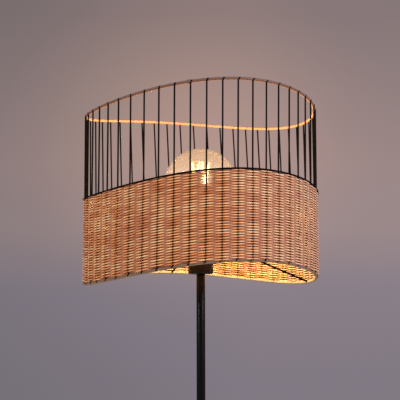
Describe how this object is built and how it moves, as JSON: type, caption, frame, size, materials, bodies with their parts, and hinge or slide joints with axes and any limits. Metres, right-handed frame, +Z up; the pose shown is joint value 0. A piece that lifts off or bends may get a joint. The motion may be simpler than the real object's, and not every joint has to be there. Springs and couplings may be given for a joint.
{
  "type": "floor lamp",
  "caption": "Floor lamp with a round wire shade, waved rims and a woven rattan band, a globe bulb, a slim black pole and a round weighted base.",
  "frame": {"origin": "centre of the base's underside, on the floor", "axes": "+Z up along the pole, the base's flat underside faces -Z, +Y to the back, where the lead enters the base"},
  "size_m": [0.3974, 0.3974, 1.528],
  "materials": {
    "black_metal": "satin black powder coat",
    "zinc_steel": "zinc plated",
    "pad_rubber": "matt",
    "cast_weight": "cast cement",
    "holder_plastic": "moulded black",
    "lead_sheath": "smooth sheath",
    "porcelain": "glazed",
    "contact_brass": "stamped",
    "rattan": "peeled cane, woven",
    "rim_binding": "bound cane, darker",
    "pale_binding": "bound cane, paler",
    "clear_glass": "clear, warm tint",
    "bulb_cap_metal": "rolled thread",
    "black_glass": "opaque black glass",
    "filament": "lit filament"
  },
  "bodies": {
    "root": {"base_pad": "pad_rubber", "base_weight": "cast_weight", "base_cover": "black_metal", "base_washer": "zinc_steel", "base_nut": "zinc_steel", "cable_gland": "pad_rubber", "lower_nipple": "zinc_steel", "lower_bush": "zinc_steel", "pole_collar": "black_metal", "pole_lower": "black_metal", "pole_joiner": "zinc_steel", "pole_upper": "black_metal", "top_bush": "zinc_steel", "top_nipple": "zinc_steel", "top_nut": "zinc_steel", "inner_lead": "lead_sheath", "holder_cup": "holder_plastic", "holder_skirt": "holder_plastic", "contact_block": "porcelain", "screw_shell": "contact_brass", "centre_contact": "contact_brass"},
    "ring": {"shade_ring": "holder_plastic"},
    "shade": {"fitter_ring": "black_metal", "spider_arm_1": "black_metal", "spider_arm_2": "black_metal", "spider_arm_3": "black_metal", "spider_arm_4": "black_metal", "bottom_ring": "black_metal", "wire_cage": "black_metal", "top_ring": "black_metal", "bottom_ring_wrap": "rim_binding", "top_ring_wrap": "pale_binding", "rattan_weave": "rattan"},
    "bulb": {"bulb_glass": "clear_glass", "bulb_cap": "bulb_cap_metal", "bulb_insulator": "black_glass", "bulb_contact": "contact_brass", "bulb_stem": "clear_glass", "filament_crown_lower": "zinc_steel", "filament_crown_upper": "zinc_steel", "filament_1": "filament", "filament_2": "filament", "filament_3": "filament", "filament_4": "filament"}
  },
  "joints": [
    {"name": "bulb_turn", "type": "hinge", "parent": "root", "child": "bulb", "pos_m": [0, 0, 1.28], "axis": [0, 0, 1], "range_deg": [0, 1260]},
    {"name": "shade_ring_turn", "type": "hinge", "parent": "root", "child": "ring", "pos_m": [0, 0, 1.289], "axis": [0, 0, 1], "range_deg": [0, 1080]},
    {"name": "shade_turn", "type": "hinge", "parent": "root", "child": "shade", "pos_m": [0, 0, 1.283], "axis": [0, 0, 1], "continuous": true}
  ]
}
